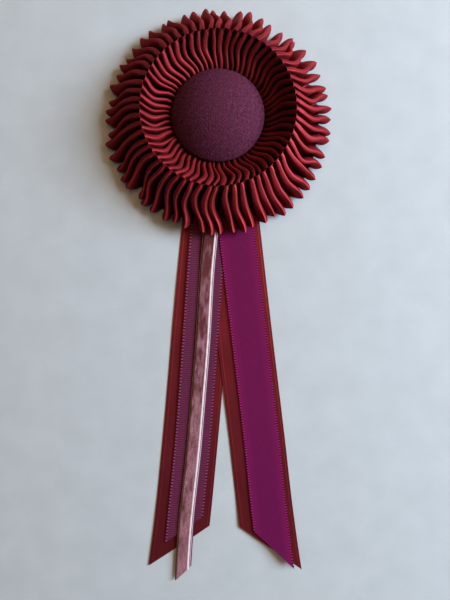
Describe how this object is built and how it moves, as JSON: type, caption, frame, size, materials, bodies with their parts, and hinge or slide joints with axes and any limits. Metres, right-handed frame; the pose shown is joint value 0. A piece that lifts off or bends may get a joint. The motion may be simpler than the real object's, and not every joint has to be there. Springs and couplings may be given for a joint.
{
  "type": "ribbon rosette badge",
  "caption": "Ribbon rosette: a pleated satin ring creased into a ridge round a cloth-covered button, with slant-cut ribbon tails and a brooch pin behind.",
  "frame": {"origin": "the rosette's centre, on the surface that it lies on or is pinned to, behind the middle of the brooch pin", "axes": "+Z out of the surface through the button, +Y from the centre to the top of the rosette, so that the tails run along -Y"},
  "size_m": [0.1, 0.2566, 0.02],
  "materials": {
    "satin": "dark red satin ribbon, soft sheen across the pleats",
    "button_cloth": "plum linen stretched over the button, fine crossed threads",
    "grosgrain_mauve": "mauve grosgrain with fine cross ribs and toothed edges",
    "grosgrain_magenta": "deep magenta grosgrain with fine toothed edges",
    "velvet_rose": "rose brown velvet with a crushed raised pile and pale woven edges",
    "backing_felt": "dark pressed felt",
    "pin_steel": "nickel plated steel wire and strip"
  },
  "bodies": {
    "root": {"pleated_ring": "satin", "centre_button": "button_cloth", "backing_disc": "backing_felt", "brooch_pin": "pin_steel", "satin_tail_left": "satin", "satin_tail_right": "satin", "grosgrain_tail_left": "grosgrain_mauve", "grosgrain_tail_right": "grosgrain_magenta", "velvet_tail": "velvet_rose"}
  },
  "joints": []
}
